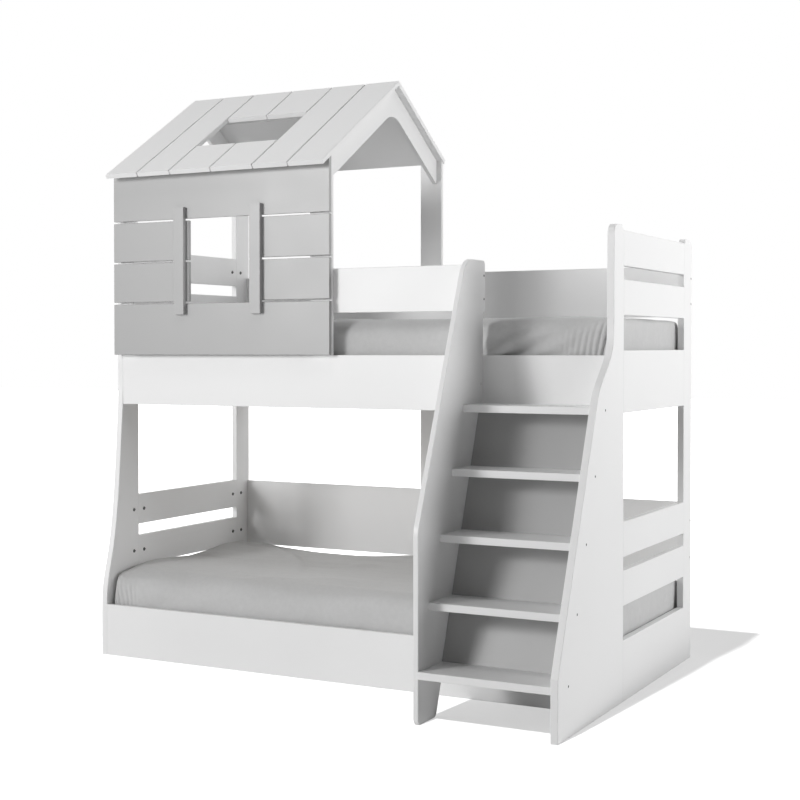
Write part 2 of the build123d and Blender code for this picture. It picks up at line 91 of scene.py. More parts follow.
class BedColours(bpy.types.PropertyGroup):
    """Colours of the bed's finishes."""

    white: bpy.props.FloatVectorProperty(
        name="White lacquer", description="Colour of the white boards",
        subtype="COLOR", size=4, min=0, max=1, default=(0.86, 0.86, 0.86, 1),
    )
    grey: bpy.props.FloatVectorProperty(
        name="Grey lacquer", description="Colour of the house's front wall and the stairs' panel",
        subtype="COLOR", size=4, min=0, max=1, default=(0.41, 0.41, 0.41, 1),
    )
    pine: bpy.props.FloatVectorProperty(
        name="Pine", description="Colour of the slats",
        subtype="COLOR", size=4, min=0, max=1, default=(0.76, 0.68, 0.56, 1),
    )
    sheet: bpy.props.FloatVectorProperty(
        name="Sheet", description="Colour of the fitted sheets",
        subtype="COLOR", size=4, min=0, max=1, default=(0.58, 0.58, 0.58, 1),
    )
    steel: bpy.props.FloatVectorProperty(
        name="Screws", description="Colour of the screws and connector heads",
        subtype="COLOR", size=4, min=0, max=1, default=(0.12, 0.12, 0.12, 1),
    )
    cap: bpy.props.FloatVectorProperty(
        name="Plug", description="Colour of the stringer's cover plug",
        subtype="COLOR", size=4, min=0, max=1, default=(0.80, 0.80, 0.79, 1),
    )


class BedSizes(bpy.types.PropertyGroup):
    """Sizes of the soft and small pieces."""

    corner_radius: bpy.props.FloatProperty(
        name="Mattress corner", description="Radius of a mattress's upright corners at its foot",
        default=mm(12), min=mm(5), unit="LENGTH",
    )
    upper_corner: bpy.props.FloatProperty(
        name="Mattress upper corner",
        description="Radius of a mattress's upright corners at its top",
        default=mm(66), min=mm(5), unit="LENGTH",
    )
    edge_radius: bpy.props.FloatProperty(
        name="Mattress edge", description="Radius of a mattress's upper front and rear edges",
        default=mm(62), min=mm(5), unit="LENGTH",
    )
    end_radius: bpy.props.FloatProperty(
        name="Mattress end", description="Radius of a mattress's upper edges at its two ends",
        default=mm(26), min=mm(5), unit="LENGTH",
    )
    puff: bpy.props.FloatProperty(
        name="Puff", description="How far the cover may swell while it is simulated",
        default=mm(9), min=0, unit="LENGTH",
    )
    crown: bpy.props.FloatProperty(
        name="Crown", description="How much lower a mattress's rim lies than its middle",
        default=mm(8), min=0, unit="LENGTH",
    )
    gather_depth: bpy.props.FloatProperty(
        name="Gather depth", description="Depth of the sheet's gathered folds at the corners",
        default=mm(14), min=0, unit="LENGTH",
    )
    socket: bpy.props.FloatProperty(
        name="Socket", description="Width across the flats of a screw's socket",
        default=mm(4.6), min=mm(1), unit="LENGTH",
    )
    cap_radius: bpy.props.FloatProperty(
        name="Cap radius", description="Radius of the connector heads and the cover plug",
        default=mm(5.5), min=mm(2), unit="LENGTH",
    )


class StudioSettings(bpy.types.PropertyGroup):
    """The photograph's camera."""

    camera_place: bpy.props.FloatVectorProperty(
        name="Camera", description="Place of the camera", subtype="TRANSLATION", unit="LENGTH",
        size=3, default=(2.6113, -5.1148, 1.2165),
    )
    camera_turn: bpy.props.FloatVectorProperty(
        name="Camera turn", description="Rotation of the camera", subtype="EULER",
        unit="ROTATION", size=3, default=(radians(88.9384), radians(0.0745), radians(29.466)),
    )
    lens: bpy.props.FloatProperty(
        name="Lens", description="Focal length on a 36 mm sensor", default=67.485, min=10,
    )
    shift: bpy.props.FloatVectorProperty(
        name="Shift", description="Shift of the picture, as a share of its width",
        size=2, default=(0.115, -0.0304),
    )


# Small helpers


def deselect():
    """Leaves edit mode and selects nothing."""
    if bpy.context.object and bpy.context.object.mode != "OBJECT":
        bpy.ops.object.mode_set(mode="OBJECT")
    bpy.ops.object.select_all(action="DESELECT")


def choose(piece):
    """Makes a piece the only selected and active one."""
    deselect()
    piece.select_set(True)
    bpy.context.view_layer.objects.active = piece


def dress(piece, slot):
    """Gives a piece the finish of its slot."""
    piece.data.materials.clear()
    piece.data.materials.append(bpy.data.materials[FINISHES[slot]])


def settle(piece, name, slot):
    """Names a finished piece, lets it ride on the bed and dresses it."""
    choose(piece)
    bpy.ops.object.transform_apply(location=True, rotation=True, scale=True)
    piece.name = name
    piece.data.name = name
    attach(piece, BODY)
    dress(piece, slot)


def node_at(tree, kind, place, inputs=None, **settings):
    """A new shader node with its settings and input values."""
    made = tree.nodes.new(kind)
    made.location = place
    for key, value in settings.items():
        setattr(made, key, value)
    for key, value in (inputs or {}).items():
        made.inputs[key].default_value = value
    return made


def wire(tree, source, output, target, entry):
    """Links an output to an input."""
    tree.links.new(source.outputs[output], target.inputs[entry])


def shader_group(name, inputs, outputs):
    """An empty node group with float inputs {name: default} and named outputs."""
    tree = bpy.data.node_groups.new(name, "ShaderNodeTree")
    for title, default in inputs.items():
        socket = tree.interface.new_socket(title, in_out="INPUT", socket_type="NodeSocketFloat")
        socket.default_value = default
    for title in outputs:
        tree.interface.new_socket(title, in_out="OUTPUT", socket_type="NodeSocketFloat")
    entry = node_at(tree, "NodeGroupInput", (-900, 0))
    leave = node_at(tree, "NodeGroupOutput", (700, 0))
    return tree, entry, leave


def fresh_material(name):
    """A new material's tree and its Principled shader."""
    material = bpy.data.materials.new(name)
    material.use_nodes = True
    return material.node_tree, material.node_tree.nodes["Principled BSDF"]


def place_group(tree, group, values, place):
    """A group in a material with its own values."""
    made = node_at(tree, "ShaderNodeGroup", place)
    made.node_tree = group
    for title, value in values.items():
        made.inputs[title].default_value = value
    return made


# Shared effects

LACQUER_SCALES = {"Peel Scale": 420.0, "Cloud Scale": 2.2, "Mark Scale": 38.0}
ROLLER_STRETCH = (0.12, 1.0, 1.0)
MARK_SHARE = 0.6
COTTON_SCALES = {"Thread Scale": 260.0, "Slub Scale": 60.0, "Crease Scale": 11.0}


def make_lacquer_group():
    """Rolled lacquer: fine peel, long roller marks and faint cloudiness."""
    tree, entry, leave = shader_group("Rolled lacquer", LACQUER_SCALES, ("Height", "Cloud"))
    place = node_at(tree, "ShaderNodeTexCoord", (-900, -300))
    peel = node_at(tree, "ShaderNodeTexNoise", (-600, 200), {"Detail": 2.0, "Roughness": 0.55})
    cloud = node_at(tree, "ShaderNodeTexNoise", (-600, -100), {"Detail": 4.0, "Roughness": 0.6})
    stretch = node_at(tree, "ShaderNodeMapping", (-800, -450), {"Scale": ROLLER_STRETCH})
    marks = node_at(tree, "ShaderNodeTexNoise", (-600, -450), {"Detail": 3.0, "Roughness": 0.7})
    for texture, title in ((peel, "Peel Scale"), (cloud, "Cloud Scale"), (marks, "Mark Scale")):
        wire(tree, entry, title, texture, "Scale")
    for texture in (peel, cloud, stretch):
        wire(tree, place, "Object", texture, "Vector")
    wire(tree, stretch, "Vector", marks, "Vector")
    total = node_at(
        tree, "ShaderNodeMath", (-300, 200), {1: MARK_SHARE}, operation="MULTIPLY_ADD",
    )
    wire(tree, marks, "Fac", total, 0)
    wire(tree, peel, "Fac", total, 2)
    wire(tree, total, "Value", leave, "Height")
    wire(tree, cloud, "Fac", leave, "Cloud")
    return tree


def make_weave_group():
    """Plain woven cotton: threads along the three axes, slubs and soft creases."""
    tree, entry, leave = shader_group("Woven cotton", COTTON_SCALES, ("Height", "Slub", "Crease"))
    place = node_at(tree, "ShaderNodeTexCoord", (-900, -300))
    threads = []
    for row, axis in enumerate(("X", "Y", "Z")):
        strands = node_at(
            tree, "ShaderNodeTexWave", (-600, 400 - 200 * row),
            {"Distortion": 1.2, "Detail": 1.0, "Detail Scale": 2.0},
            wave_type="BANDS", bands_direction=axis, wave_profile="SIN",
        )
        wire(tree, entry, "Thread Scale", strands, "Scale")
        wire(tree, place, "Object", strands, "Vector")
        threads.append(strands)
    pair = node_at(tree, "ShaderNodeMath", (-300, 200), operation="ADD")
    wire(tree, threads[0], "Fac", pair, 0)
    wire(tree, threads[1], "Fac", pair, 1)
    total = node_at(tree, "ShaderNodeMath", (-300, 0), operation="ADD")
    wire(tree, pair, "Value", total, 0)
    wire(tree, threads[2], "Fac", total, 1)
    slub = node_at(tree, "ShaderNodeTexNoise", (-600, -300), {"Detail": 3.0, "Roughness": 0.6})
    crease = node_at(tree, "ShaderNodeTexNoise", (-600, -550), {"Detail": 5.0, "Roughness": 0.55})
    for texture, title in ((slub, "Slub Scale"), (crease, "Crease Scale")):
        wire(tree, entry, title, texture, "Scale")
        wire(tree, place, "Object", texture, "Vector")
    wire(tree, total, "Value", leave, "Height")
    wire(tree, slub, "Fac", leave, "Slub")
    wire(tree, crease, "Fac", leave, "Crease")
    return tree


# Materials

# Most of a texture's values lie between these two
MASK_LOW, MASK_HIGH = 0.3, 0.7


def stretched(tree, source, output, low, high, place):
    """A texture's usual values, stretched to lie between two others."""
    ramp = node_at(tree, "ShaderNodeMapRange", place, {
        "From Min": MASK_LOW, "From Max": MASK_HIGH, "To Min": low, "To Max": high,
    })
    wire(tree, source, output, ramp, "Value")
    return ramp


def varied_colour(tree, shader, source, output, colour, darkest):
    """Base colour that falls to a share of a colour and back with a mask."""
    ramp = stretched(tree, source, output, darkest, 1.0, (-500, 300))
    tone = node_at(
        tree, "ShaderNodeMix", (-250, 300), {"Factor": 1.0, "A": colour},
        data_type="RGBA", blend_type="MULTIPLY",
    )
    wire(tree, ramp, "Result", tone, "B")
    wire(tree, tone, "Result", shader, "Base Color")


def varied_roughness(tree, shader, source, output, low, high):
    """Roughness that swings between two values with a mask."""
    ramp = stretched(tree, source, output, low, high, (-500, 0))
    wire(tree, ramp, "Result", shader, "Roughness")


def bumped(tree, shader, source, output, strength, distance):
    """A bump from a height mask."""
    bump = node_at(
        tree, "ShaderNodeBump", (-250, -300), {"Strength": strength, "Distance": distance},
    )
    wire(tree, source, output, bump, "Height")
    wire(tree, bump, "Normal", shader, "Normal")
    return bump


def make_lacquer(name, group, colour, glossiest, dullest):
    """A satin lacquered board."""
    tree, shader = fresh_material(name)
    effect = place_group(tree, group, LACQUER_SCALES, (-900, 0))
    varied_colour(tree, shader, effect, "Cloud", colour, darkest=0.985)
    varied_roughness(tree, shader, effect, "Cloud", glossiest, dullest)
    bumped(tree, shader, effect, "Height", strength=0.06, distance=mm(0.15))
    shader.inputs["IOR"].default_value = 1.5


def make_pine(colour):
    """Planed pine with growth rings along the slats."""
    tree, shader = fresh_material("Bare pine")
    place = node_at(tree, "ShaderNodeTexCoord", (-1200, 0))
    stretch = node_at(tree, "ShaderNodeMapping", (-1000, 0), {"Scale": (1.0, 0.08, 1.0)})
    wire(tree, place, "Object", stretch, "Vector")
    rings = node_at(
        tree, "ShaderNodeTexWave", (-800, 0),
        {"Scale": 28.0, "Distortion": 7.0, "Detail": 3.0, "Detail Scale": 1.4},
        wave_type="BANDS", bands_direction="DIAGONAL",
    )
    wire(tree, stretch, "Vector", rings, "Vector")
    varied_colour(tree, shader, rings, "Fac", colour, darkest=0.72)
    varied_roughness(tree, shader, rings, "Fac", low=0.5, high=0.65)
    bumped(tree, shader, rings, "Fac", strength=0.15, distance=mm(0.3))


def make_sheet_fabric(group, colour):
    """White cotton of a fitted sheet."""
    tree, shader = fresh_material("Cotton sheet")
    effect = place_group(tree, group, COTTON_SCALES, (-900, 0))
    varied_colour(tree, shader, effect, "Slub", colour, darkest=0.95)
    varied_roughness(tree, shader, effect, "Slub", low=0.85, high=0.95)
    weave = bumped(tree, shader, effect, "Height", strength=0.25, distance=mm(0.25))
    crease = node_at(
        tree, "ShaderNodeBump", (-450, -500), {"Strength": 0.8, "Distance": mm(8)},
    )
    wire(tree, effect, "Crease", crease, "Height")
    wire(tree, crease, "Normal", weave, "Normal")
    shader.inputs["Sheen Weight"].default_value = 0.15
    shader.inputs["Sheen Roughness"].default_value = 0.5


def make_grained(name, colour, grain, darkest, roughness, bump):
    """The finish of a small hard piece, with a fine grain; returns its shader."""
    tree, shader = fresh_material(name)
    place = node_at(tree, "ShaderNodeTexCoord", (-1200, 0))
    texture = node_at(tree, "ShaderNodeTexNoise", (-900, 0), grain)
    wire(tree, place, "Object", texture, "Vector")
    varied_colour(tree, shader, texture, "Fac", colour, darkest)
    varied_roughness(tree, shader, texture, "Fac", *roughness)
    bumped(tree, shader, texture, "Fac", bump, distance=mm(0.05))
    return shader


def make_metal(colour):
    """Blackened steel of the screws and connector heads."""
    shader = make_grained(
        "Screw steel", colour, {"Scale": 900.0, "Detail": 3.0},
        darkest=0.8, roughness=(0.32, 0.48), bump=0.1,
    )
    shader.inputs["Metallic"].default_value = 0.6


def make_plastic(colour):
    """Plastic of the cover plug."""
    make_grained(
        "Cap plastic", colour, {"Scale": 1200.0, "Detail": 2.0},
        darkest=0.9, roughness=(0.45, 0.6), bump=0.15,
    )


# Soft pieces

# The block under a sheet: its faces, the room that it leaves the folds, its finer corners,
# and the superellipse and unevenness of its edges
BLOCK_FACE = mm(18)
FOLD_ROOM = mm(6)
FINE_REACH = mm(170)
SIDE_LIMIT = 0.8
ROUND_POWER = 2.4
EDGE_SWING, EDGE_RATE = 0.5, 3.6

# The cotton while it is simulated
SWELL_FRAMES = 20
SHORTEST_STEP = mm(0.01)
COTTON = {
    "quality": 4,
    "mass": 0.3,
    "tension_stiffness": 12,
    "compression_stiffness": 12,
    "shear_stiffness": 4,
    "bending_stiffness": 0.4,
    "use_pressure": True,
    "uniform_pressure_force": 4,
}

# Gathers by the corners: spacing, lean, reach, and how their run and size wander
GATHER_SPACING, GATHER_LEAN, GATHER_REACH = mm(21), mm(26), mm(105)
GATHER_SHARPNESS = 3
GATHER_WANDER, WANDER_RATE, WANDER_RISE = 2.6, 14, 1.5
GATHER_SIZE, SIZE_SWING, SIZE_RATE, SIZE_ROW = 0.75, 0.7, 31, 0.3
QUARTER_SEEDS = (2.1, 5.3)

# Broad folds, creases, side unevenness and the top's waves. Rates are changes per metre.
FOLD_WANDER, FOLD_RATE = 2, 5
CREASE_LEAN = 2.2
SIDE_RATE, SIDE_RISE_RATE, SIDE_HEIGHT = 7, 9, mm(3)
WAVES = ((1.3, 8, 0, mm(6)), (3.4, 19, 4, mm(3.4)), (6, 34, 6, mm(1.4)))
RIDGE_RATES, RIDGE_SEED, RIDGE_WIDTH, RIDGE_HEIGHT = (2.3, 3.1), 9, 0.12, mm(26)
RIM_CALM, RIM_REACH = 0.7, mm(80)
CROWN_POWER = 4


def plain_block(low, high):
    """A closed block of even small faces."""
    deselect()
    bpy.ops.mesh.primitive_cube_add(size=1, location=(low + high) / 2)
    block = bpy.context.object
    block.dimensions = high - low
    bpy.ops.object.transform_apply(location=True, rotation=True, scale=True)
    block.data.remesh_voxel_size = BLOCK_FACE
    bpy.ops.object.voxel_remesh()
    return block


def read_places(mesh):
    """Places of a mesh's vertices."""
    return [v.co.copy() for v in mesh.vertices]


def write_places(mesh, places, low, high):
    """Moves a mesh's vertices and keeps them inside a box."""
    kept = [max(a, min(b, p)) for place in places for a, b, p in zip(low, high, place)]
    mesh.vertices.foreach_set("co", kept)
    mesh.update()


def swell(piece, cap, low, high):
    """Blows the cover up a little under cloth tension and keeps it inside its space."""
    start = read_places(piece.data)
    cloth = piece.modifiers.new("Swell", "CLOTH")
    for key, value in COTTON.items():
        setattr(cloth.settings, key, value)
    cloth.settings.effector_weights.gravity = 0
    cloth.point_cache.frame_start = 1
    cloth.point_cache.frame_end = SWELL_FRAMES
    scene = bpy.context.scene
    for number in range(1, SWELL_FRAMES + 1):
        scene.frame_set(number)
    graph = bpy.context.evaluated_depsgraph_get()
    swollen = read_places(piece.evaluated_get(graph).data)
    piece.modifiers.remove(cloth)
    scene.frame_set(1)
    moved = []
    for old, new in zip(start, swollen):
        step = new - old
        moved.append(old + step * min(1, cap / max(step.length, SHORTEST_STEP)))
    write_places(piece.data, moved, low, high)


def near(distance, reach):
    """1 at no distance, falling softly to 0 well past a reach."""
    return exp(-((distance / reach) ** 2))


def wobble(x, y, z):
    """Smooth noise at a point, between about -1 and 1."""
    return noise.noise(Vector((x, y, z)))


def along_rim(side_x, side_y, radius):
    """Distance along the side from the middle of the nearest rounded corner."""
    if side_x > radius:
        return radius * pi / 4 + side_x - radius
    if side_y > radius:
        return -radius * pi / 4 - side_y + radius
    return radius * (atan2(radius - side_y, radius - side_x) - pi / 4)


def gathers(along, rise, fade, seed):
    """Depth share of the tight folds by a corner, where the sheet's elastic pulls it in."""
    wander = wobble(along * WANDER_RATE, rise * WANDER_RISE, seed)
    turns = (along + GATHER_LEAN * rise) / GATHER_SPACING
    phase = 2 * pi * turns + GATHER_WANDER * wander
    size = GATHER_SIZE + SIZE_SWING * wobble(along * SIZE_RATE, seed, SIZE_ROW)
    valley = (0.5 + 0.5 * sin(phase)) ** GATHER_SHARPNESS
    return size * valley * near(along, GATHER_REACH) * max(0.0, 1 - rise) ** fade


def drag_folds(place, low, folds):
    """Height of the slanting folds in the sheet's side: (x, reach, slant, spacing, height)."""
    total = 0.0
    for x, reach, slant, spacing, height in folds:
        across = (place.z - low.z) * cos(slant) - (place.x - x) * sin(slant)
        wander = FOLD_WANDER * wobble(place.x * FOLD_RATE, place.z * FOLD_RATE, x)
        total += height * sin(2 * pi * across / spacing + wander) * near(place.x - x, reach)
    return total


def long_creases(place, creases):
    """Height of the curved creases on top: (centre x, y, radius, from, to, width, height)."""
    total = 0.0
    for x, y, radius, start, end, width, height in creases:
        away = Vector((place.x - x, place.y - y))
        angle = atan2(away.y, away.x)
        middle, half = (start + end) / 2, (end - start) / 2
        off = away.length - radius
        lean = near(off, width) if off > 0 else near(off, width * CREASE_LEAN)
        total += height * lean * near(angle - middle, half)
    return total


def dips(place, hollows):
    """Depth of the soft hollows on top: (x, y, reach x, reach y, depth), a rise if below 0."""
    return sum(
        depth * exp(-(((place.x - x) / reach_x) ** 2) - ((place.y - y) / reach_y) ** 2)
        for x, y, reach_x, reach_y, depth in hollows
    )


def top_waves(place, seed):
    """Height of the loose cotton's waves on top, with a few sharper ridges among them."""
    total = sum(
        wobble(place.x * lengthwise, place.y * crosswise, seed + shift) * height
        for lengthwise, crosswise, shift, height in WAVES
    )
    rate_x, rate_y = RIDGE_RATES
    ridge = abs(wobble(place.x * rate_x + place.y, place.y * rate_y, seed + RIDGE_SEED))
    return total + max(0.0, RIDGE_WIDTH - ridge) * RIDGE_HEIGHT


def quarter_seed(place):
    """A different number for each quarter of a mattress."""
    right, rear = QUARTER_SEEDS
    return (right if place.x > 0 else 0.0) + (rear if place.y > 0 else 0.0)


def from_outline(place, low, high, corner):
    """Distance in from the rounded outline seen from above, and the way out."""
    inner = Vector(max(a + corner, min(b - corner, p)) for a, b, p in zip(low, high, place))
    away = Vector((place.x - inner.x, place.y - inner.y, 0))
    if away.length > 0:
        return corner - away.length, away.normalized()
    side_x = min(place.x - low.x, high.x - place.x)
    side_y = min(place.y - low.y, high.y - place.y)
    if side_x < side_y:
        return side_x, Vector((1 if place.x > inner.x else -1, 0, 0))
    return side_y, Vector((0, -1 if place.y - low.y < high.y - place.y else 1, 0))


def round_edges(piece, low, high, sizes, look):
    """Rounds a block's upright corners and its upper edges, wider along the front and rear."""
    rounded = []
    for place in read_places(piece.data):
        lift = (place.z - low.z) / (high.z - low.z)
        corner = sizes.corner_radius + (sizes.upper_corner - sizes.corner_radius) * lift ** 2
        depth, out = from_outline(place, low, high, corner)
        if depth < 0:
            place = place + out * depth
            depth = 0.0
        edge = sizes.end_radius * out.x ** 2 + sizes.edge_radius * look["roundness"] * out.y ** 2
        edge *= 1 + EDGE_SWING * wobble(place.x * EDGE_RATE, place.y * EDGE_RATE, look["seed"])
        inward, rise = edge - depth, place.z - (high.z - edge)
        if inward > 0 and rise > 0:
            reach = (inward ** ROUND_POWER + rise ** ROUND_POWER) ** (1 / ROUND_POWER)
            share = min(1, edge / reach)
            place = place - out * inward * (1 - share)
            place.z = high.z - edge + rise * share
        rounded.append(place)
    write_places(piece.data, rounded, low, high)


def shape_sheet(piece, low, high, sizes, look):
    """Lays the sheet's folds and creases over a plain block."""
    centre, half = (low + high) / 2, (high - low) / 2
    shaped = []
    for vertex in piece.data.vertices:
        place, normal = vertex.co.copy(), vertex.normal.copy()
        side_x = half.x - abs(place.x - centre.x)
        side_y = half.y - abs(place.y - centre.y)
        rise = (place.z - low.z) / (high.z - low.z)
        steep, top = 1 - abs(normal.z), max(0.0, normal.z)
        wave = top_waves(place, look["seed"])
        wave *= 1 - RIM_CALM * near(max(0.0, min(side_x, side_y)), RIM_REACH)
        lift = top * (wave + long_creases(place, look["creases"]) - dips(place, look["hollows"]))
        lift -= top * (1 - side_y / half.y) ** CROWN_POWER * sizes.crown
        uneven = wobble(place.x * SIDE_RATE, place.y * SIDE_RATE, place.z * SIDE_RISE_RATE)
        out = steep * uneven * SIDE_HEIGHT
        out += steep * drag_folds(place, low, look["folds"])
        along = along_rim(side_x, side_y, sizes.corner_radius)
        pleat = gathers(along, rise, look["fade"], look["seed"] + quarter_seed(place))
        out -= steep * sizes.gather_depth * pleat
        shaped.append(place + normal * out + Vector((0, 0, lift)))
    write_places(piece.data, shaped, low, high)


def refine_corners(piece, low, high):
    """Divides the side faces near the upright corners, where the folds are narrow."""
    choose(piece)
    bpy.ops.object.mode_set(mode="EDIT")
    mesh = bmesh.from_edit_mesh(piece.data)
    for f in mesh.faces:
        middle = f.calc_center_median()
        off_x = min(middle.x - low.x, high.x - middle.x)
        off_y = min(middle.y - low.y, high.y - middle.y)
        f.select_set(max(off_x, off_y) < FINE_REACH and abs(f.normal.z) < SIDE_LIMIT)
    bmesh.update_edit_mesh(piece.data)
    bpy.ops.mesh.subdivide(number_cuts=1)
    bpy.ops.object.mode_set(mode="OBJECT")


# The two sheets: their noise's seed, how far they may reach past their solid, how round the
# long edges are, how fast the gathers fade upwards, and their own creases, hollows and folds
LOWER_LOOK = {
    "seed": 3.7,
    "spare": (mm(4), mm(6), mm(6)),
    "roundness": 1.8,
    "fade": 0.8,
    "creases": (
        (-1.33, -0.42, 1.09, 0.38, 1.12, mm(17), mm(8)),
        (-0.2, -1.3, 1.55, 1.2, 1.75, mm(30), mm(3)),
        (0.9, 1.9, 1.9, 4.1, 4.6, mm(25), mm(3)),
    ),
    "hollows": (
        (-0.47, 0.70, 0.27, 0.12, mm(27)), (-0.84, 0.66, 0.06, 0.10, -mm(8)),
        (-0.10, 0.66, 0.12, 0.10, -mm(9)),
        (-1.0, -0.31, 0.13, 0.11, mm(20)), (-1.0, -0.05, 0.10, 0.14, -mm(9)),
        (-1.0, 0.22, 0.08, 0.09, mm(5)), (-1.0, 0.52, 0.13, 0.16, -mm(14)),
        (1.0, 0.3, 0.06, 0.2, mm(8)),
    ),
    "folds": ((-0.75, 0.2, 0.3, mm(90), mm(1.5)), (0.3, 0.4, -0.2, mm(110), mm(1.5))),
}
UPPER_LOOK = {
    "seed": 8.2,
    "spare": (mm(4), mm(10), mm(6)),
    "roundness": 1.2,
    "fade": 0.35,
    "creases": ((0.5, -1.2, 1.3, 1.2, 1.9, mm(30), mm(3)),),
    "hollows": ((0.2, 0.70, 0.5, 0.1, mm(6)), (1.0, 0.3, 0.06, 0.2, mm(6))),
    "folds": ((0.68, 0.15, 0.42, mm(62), mm(6)), (0.2, 0.3, 0.05, mm(120), mm(1.5))),
}


def make_mattress(name, node, sizes, look):
    """A foam mattress in its fitted sheet, in the space that its solid holds."""
    low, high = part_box(node)
    spare = Vector(look["spare"])
    low, high = low - Vector((spare.x, spare.y, 0)), high + spare
    rest = high - Vector((0, 0, spare.z + FOLD_ROOM))
    block = plain_block(low, rest)
    round_edges(block, low, rest, sizes, look)
    swell(block, sizes.puff, low, rest)
    even = block.modifiers.new("Even", "SMOOTH")
    even.iterations = 1
    choose(block)
    bpy.ops.object.modifier_apply(modifier=even.name)
    refine_corners(block, low, high)
    finer = block.modifiers.new("Finer", "SUBSURF")
    finer.levels = finer.render_levels = 1
    bpy.ops.object.modifier_apply(modifier=finer.name)
    shape_sheet(block, low, high, sizes, look)
    bpy.ops.object.shade_smooth()
    settle(block, name, "sheet_fabric")
    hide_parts(node)


# Fasteners

SCREW_SIDES, CAP_SIDES, RIM_SEGMENTS = 36, 32, 3
UPWARD = 0.9
SMOOTH_ANGLE = radians(35)
SAME_POINT = mm(0.01)
SCREW_BEVEL = mm(0.6)
SOCKET_DEPTH = mm(4)

# Connector heads and the plug: thickness, and the dome and recess as shares of the head
HEAD_THICKNESS, PLUG_THICKNESS = mm(1.2), mm(1)
DOME_SHARE = 0.6
RECESS_MARGIN, RECESS_WALL, RECESS_DEPTH = 0.35, 0.06, 0.8
GUARD_BOARD = mm(121)
HEAD_TO_SEAM = mm(34.5)
PLUG_SETBACK, PLUG_HEIGHT = mm(37), mm(1090)


def loose_solids(node):
    """Low and high corners of the separate solids in one CAD node."""
    mesh = bmesh.new()
    mesh.from_mesh(nodes[node].data)
    bmesh.ops.remove_doubles(mesh, verts=mesh.verts, dist=SAME_POINT)
    mesh.verts.ensure_lookup_table()
    seen, found = set(), []
    for start in mesh.verts:
        if start.index in seen:
            continue
        group, waiting = [], [start]
        seen.add(start.index)
        while waiting:
            vertex = waiting.pop()
            group.append(vertex.co.copy())
            for e in vertex.link_edges:
                other = e.other_vert(vertex)
                if other.index not in seen:
                    seen.add(other.index)
                    waiting.append(other)
        low = Vector(min(c[i] for c in group) for i in range(3))
        high = Vector(max(c[i] for c in group) for i in range(3))
        found.append((low, high))
    mesh.free()
    return found


def bevelled_disc(sides, radius, bottom, top, bevel):
    """A cylinder between two heights, still in edit mode, its upper rim bevelled."""
    deselect()
    bpy.ops.mesh.primitive_cylinder_add(
        vertices=sides, radius=radius, depth=top - bottom, location=(0, 0, (bottom + top) / 2),
    )
    disc = bpy.context.object
    bpy.ops.object.transform_apply(location=True, rotation=True, scale=True)
    bpy.ops.object.mode_set(mode="EDIT")
    mesh = bmesh.from_edit_mesh(disc.data)
    for f in mesh.faces:
        f.select_set(f.normal.z > UPWARD)
    bmesh.update_edit_mesh(disc.data)
    bpy.ops.mesh.bevel(
        offset=bevel, offset_type="OFFSET", segments=RIM_SEGMENTS, affect="EDGES",
    )
    return disc


def socket_screw(radius, length, socket):
    """A screw along Z, its head at the origin, with a hexagon socket."""
    screw = bevelled_disc(SCREW_SIDES, radius, -length, 0, SCREW_BEVEL)
    deselect()
    bpy.ops.mesh.primitive_cylinder_add(
        vertices=6, radius=socket / 2 / cos(pi / 6), depth=2 * SOCKET_DEPTH, location=(0, 0, 0),
    )
    key = bpy.context.object
    choose(screw)
    cut = screw.modifiers.new("Socket", "BOOLEAN")
    cut.object = key
    cut.operation = "DIFFERENCE"
    bpy.ops.object.modifier_apply(modifier=cut.name)
    bpy.data.objects.remove(key)
    return screw


def round_cap(radius, thickness, recessed):
    """A low domed head on the plane across Z, with a round recess where it takes a tool."""
    cap = bevelled_disc(CAP_SIDES, radius, 0, thickness, thickness * DOME_SHARE)
    if recessed:
        bpy.ops.mesh.inset(thickness=radius * RECESS_MARGIN, depth=0)
        bpy.ops.mesh.inset(thickness=radius * RECESS_WALL, depth=-thickness * RECESS_DEPTH)
    bpy.ops.object.mode_set(mode="OBJECT")
    return cap


def copies_at(pattern, places):
    """One mesh of a pattern's copies, each turned to look out of a face across X."""
    made = []
    for place, out in places:
        twin = pattern.copy()
        twin.data = pattern.data.copy()
        twin.data.transform(Matrix.Translation(place) @ Matrix.Rotation(out * pi / 2, 4, "Y"))
        bpy.context.scene.collection.objects.link(twin)
        made.append(twin)
    bpy.data.objects.remove(pattern)
    deselect()
    for twin in made:
        twin.select_set(True)
    bpy.context.view_layer.objects.active = made[0]
    if len(made) > 1:
        bpy.ops.object.join()
    bpy.ops.object.shade_smooth_by_angle(angle=SMOOTH_ANGLE)
    return bpy.context.object


def make_screws(node, sizes):
    """Socket screws in the places of one node's plain ones, which are all alike."""
    outer_low, outer_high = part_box(node)
    solids = loose_solids(node)
    places = []
    for low, high in solids:
        out = -1 if low.x - outer_low.x < outer_high.x - high.x else 1
        head = low.x if out < 0 else high.x
        places.append((Vector((head, (low.y + high.y) / 2, (low.z + high.z) / 2)), out))
    low, high = solids[-1]
    pattern = socket_screw((high.y - low.y) / 2, high.x - low.x, sizes.socket)
    piece = copies_at(pattern, places)
    settle(piece, node + "_heads", "screw_steel")
    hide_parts(node)


